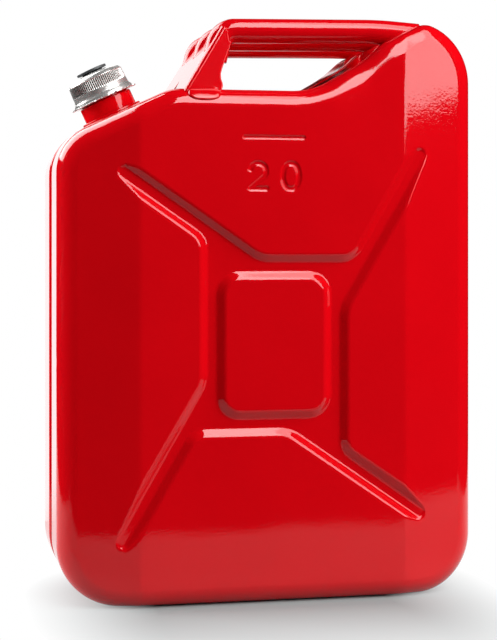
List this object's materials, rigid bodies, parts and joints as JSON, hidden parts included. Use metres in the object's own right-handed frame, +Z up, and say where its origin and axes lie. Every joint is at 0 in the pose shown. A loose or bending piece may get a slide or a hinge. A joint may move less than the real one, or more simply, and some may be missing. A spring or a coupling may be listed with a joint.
{
  "type": "jerrycan",
  "caption": "Steel fuel can of two pressed halves with a sunken X round a raised square, a tilted filler neck with a knurled screw cap, and a handle of parallel bars on a folded sheet leg.",
  "frame": {"origin": "middle of the flat base, on the seam plane between the two halves", "axes": "X runs to the right with the neck on the left, Y runs from the front face to the back, Z is up"},
  "size_m": [0.345, 0.165, 0.4746],
  "materials": {
    "red_paint": "glossy enamel with a slight orange peel",
    "plated_steel": "zinc plated, satin",
    "dark_disc": "satin",
    "black_rubber": "matte",
    "bare_steel": "dull, as rolled"
  },
  "bodies": {
    "can": {"front_shell": "red_paint", "rear_shell": "red_paint", "seam_weld": "red_paint", "neck_collar": "red_paint", "neck_weld": "red_paint", "neck_tube": "red_paint", "handle_leg": "red_paint", "handle_bar_front": "red_paint", "handle_bar_middle": "red_paint", "handle_bar_rear": "red_paint", "vent_tube": "bare_steel", "vent_clip": "bare_steel"},
    "cap_seal": {"cap_gasket": "black_rubber"},
    "cap": {"cap_shell": "plated_steel", "cap_brim": "plated_steel", "cap_insert": "plated_steel", "cap_plate": "plated_steel", "cap_rivet": "plated_steel", "cap_top_disc": "dark_disc"}
  },
  "joints": [
    {"name": "cap_lift", "type": "slide", "parent": "can", "child": "cap_seal", "axis": [-0.4226, 0, 0.9063], "range_m": [0, 0.0181]},
    {"name": "cap_turn", "type": "hinge", "parent": "cap_seal", "child": "cap", "pos_m": [-0.1208, 0, 0.39514], "axis": [-0.4226, 0, 0.9063], "range_deg": [0, 1080]}
  ],
  "couplings": [
    {"joint": "cap_lift", "follows": "cap_turn", "m_per_rad": 0.00095493}
  ]
}
